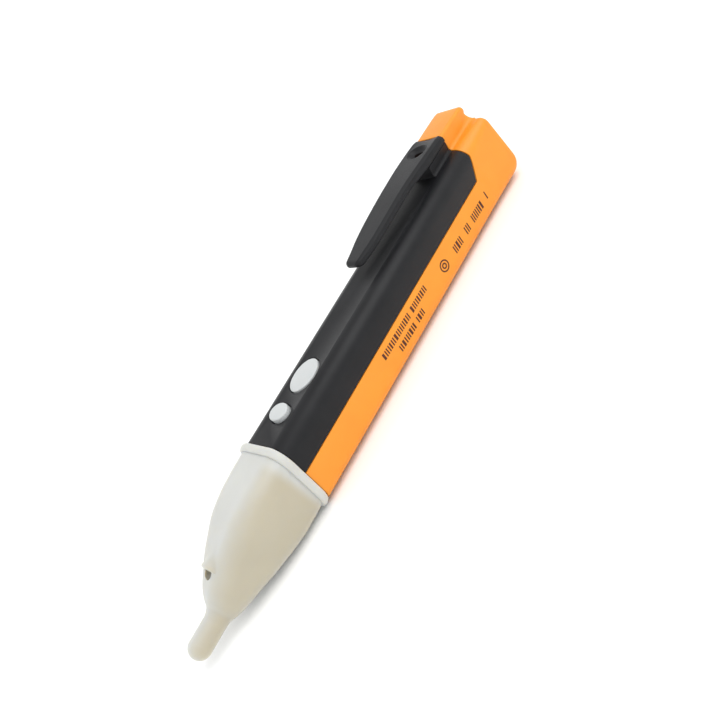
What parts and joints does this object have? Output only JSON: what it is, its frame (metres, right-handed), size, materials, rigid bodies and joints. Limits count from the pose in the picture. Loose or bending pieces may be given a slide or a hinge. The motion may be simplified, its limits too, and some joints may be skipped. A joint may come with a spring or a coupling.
{
  "type": "non contact voltage tester",
  "caption": "Pen-shaped non-contact voltage tester with a milky sensing nose, torch nozzle, oval keys, pocket clip and pull-off rear housing over AAA cells.",
  "frame": {"origin": "under the middle of the pen's overall length and width, on the plane that the nose collar rests on", "axes": "+X from the tail to the sensing finger, +Y the pen's right side seen from the tail with the keys up, +Z the key and clip side"},
  "size_m": [0.155, 0.0212, 0.0269],
  "materials": {
    "orange_shell": "satin moulded plastic",
    "black_shell": "fine-grained moulded plastic",
    "key_plastic": "pale moulded plastic",
    "milky_nose": "milky, light-passing moulded plastic",
    "grey_frame": "moulded plastic",
    "cell_jacket": "plain printed sleeve, no marks",
    "plated_steel": "nickel plated",
    "board_green": "green solder mask on glass-fibre board",
    "chip_black": "moulded epoxy",
    "lamp_clear": "clear epoxy",
    "lamp_red": "tinted epoxy",
    "brass_rod": "bright",
    "lead_green": "soft wire insulation"
  },
  "bodies": {
    "pen_core": {"front_cover": "black_shell", "nose_cone": "milky_nose", "battery_cradle": "grey_frame", "rear_cell": "cell_jacket", "front_cell": "cell_jacket", "battery_spring": "plated_steel", "spring_plate": "plated_steel", "front_contact": "plated_steel", "return_strip": "plated_steel", "circuit_board": "board_green", "power_switch": "chip_black", "torch_switch": "chip_black", "controller_chip": "chip_black", "capacitor": "grey_frame", "buzzer": "chip_black", "torch_lamp": "lamp_clear", "torch_lamp_lead_left": "plated_steel", "torch_lamp_lead_right": "plated_steel", "signal_lamp": "lamp_red", "sensor_rod": "brass_rod", "sensor_lead": "lead_green", "rear_board_screw": "plated_steel", "front_board_screw": "plated_steel"},
    "rear_housing_body": {"rear_housing": "orange_shell"},
    "clip_body": {"pocket_clip": "black_shell"},
    "power_key": {"power_button": "key_plastic", "power_switch_plunger": "plated_steel"},
    "torch_key": {"torch_button": "key_plastic", "torch_switch_plunger": "plated_steel"}
  },
  "joints": [
    {"name": "housing_slide", "type": "slide", "parent": "pen_core", "child": "rear_housing_body", "axis": [-1, 0, 0], "range_m": [0, 0.11]},
    {"name": "clip_flex", "type": "hinge", "parent": "pen_core", "child": "clip_body", "pos_m": [-0.0653, 0, 0.026], "axis": [0, -1, 0], "range_deg": [0, 6], "stiffness_Nm_per_rad": 2},
    {"name": "power_key_press", "type": "slide", "parent": "pen_core", "child": "power_key", "axis": [0, 0, -1], "range_m": [0, 0.0004], "stiffness_N_per_m": 600},
    {"name": "torch_key_press", "type": "slide", "parent": "pen_core", "child": "torch_key", "axis": [0, 0, -1], "range_m": [0, 0.0004], "stiffness_N_per_m": 600}
  ]
}
